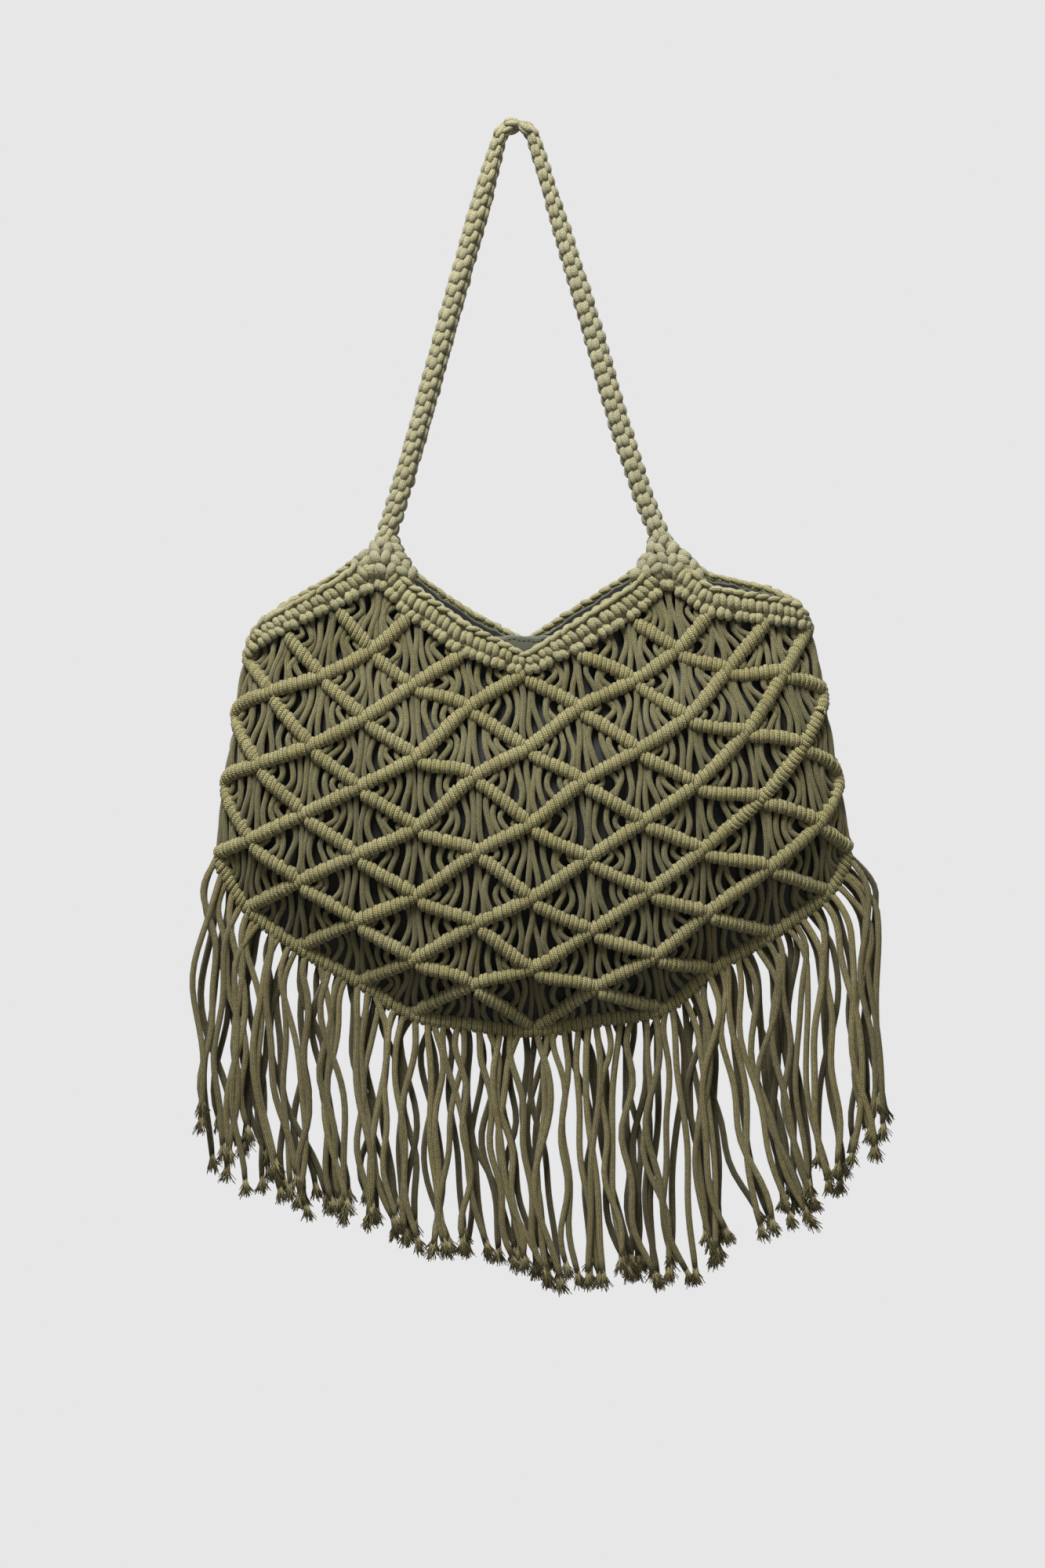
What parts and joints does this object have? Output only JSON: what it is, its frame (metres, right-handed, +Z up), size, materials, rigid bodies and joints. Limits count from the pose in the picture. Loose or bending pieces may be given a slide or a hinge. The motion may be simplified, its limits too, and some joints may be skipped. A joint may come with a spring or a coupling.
{
  "type": "knotted cord shoulder bag",
  "caption": "Shoulder bag knotted from cotton cord in a diamond net, with knotted rims, one knotted cord handle, a cloth lining and a long frayed fringe, held hanging by its handle.",
  "frame": {"origin": "underside of the handle's top bend, where the bag hangs on a hook, a rail or a shoulder", "axes": "+Z up along the hanging bag, the front of the bag faces -Y, +X to the right as seen from the front"},
  "size_m": [0.386, 0.0682, 0.687],
  "materials": {
    "net_cord": "matte",
    "rim_cord": "matte",
    "handle_cord": "matte",
    "lining_cloth": "matte",
    "fringe_cord": "matte"
  },
  "bodies": {
    "root": {"net": "net_cord", "rim_front": "rim_cord", "rim_back": "rim_cord", "handle": "handle_cord", "lining": "lining_cloth", "fringe_front": "fringe_cord", "fringe_back": "fringe_cord"}
  },
  "joints": []
}
